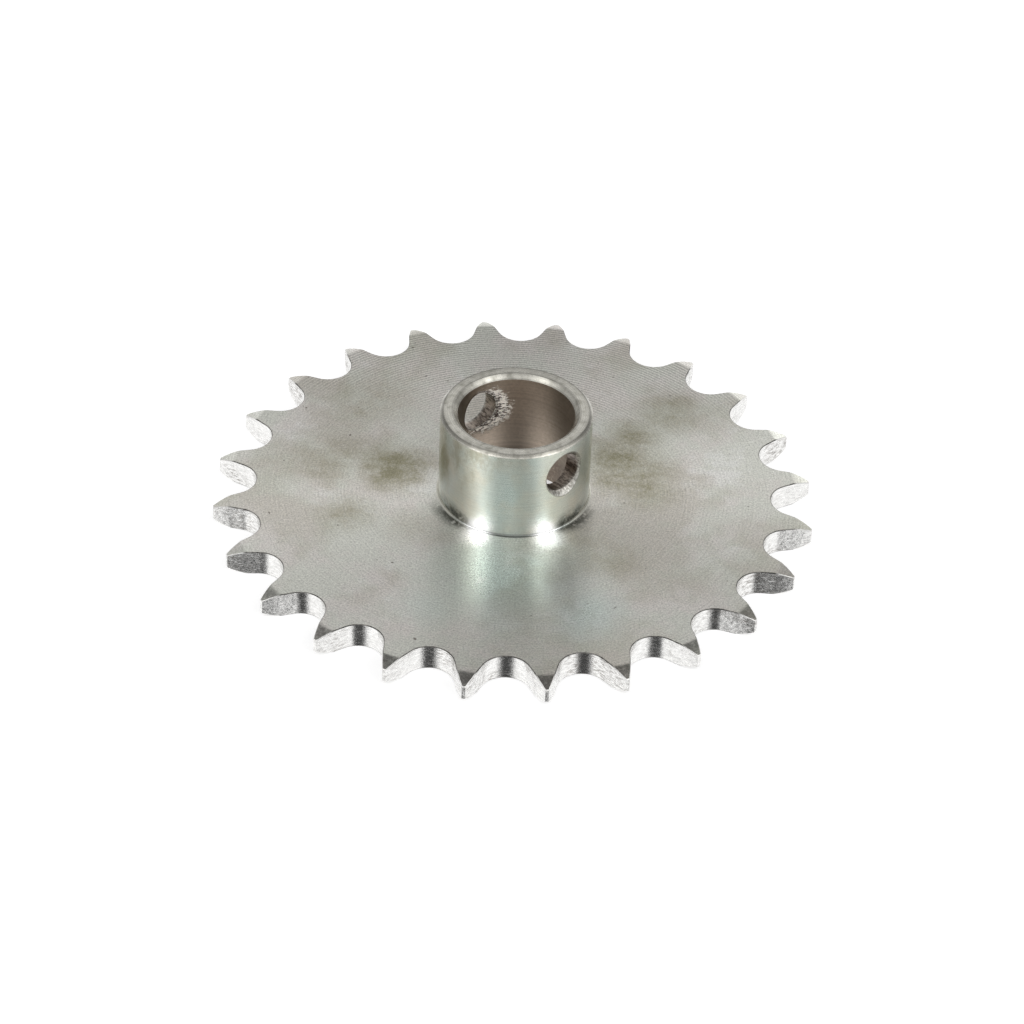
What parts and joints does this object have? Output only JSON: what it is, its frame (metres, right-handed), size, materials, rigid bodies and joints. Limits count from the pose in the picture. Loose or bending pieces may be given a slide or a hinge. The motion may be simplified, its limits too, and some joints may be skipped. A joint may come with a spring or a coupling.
{
  "type": "roller chain sprocket",
  "caption": "Steel roller-chain sprocket: a flat toothed plate with a bored hub on its face and a pin hole straight across the hub.",
  "frame": {"origin": "centre of the bore on the plate's flat back face", "axes": "+Z along the bore towards the hub's end, +X through the middle of a gap between two teeth"},
  "size_m": [0.1026, 0.1026, 0.0215],
  "materials": {
    "sprocket": "turned and milled steel with a thin, lightly stained zinc-like finish"
  },
  "bodies": {
    "root": {"sprocket": "sprocket"}
  },
  "joints": []
}
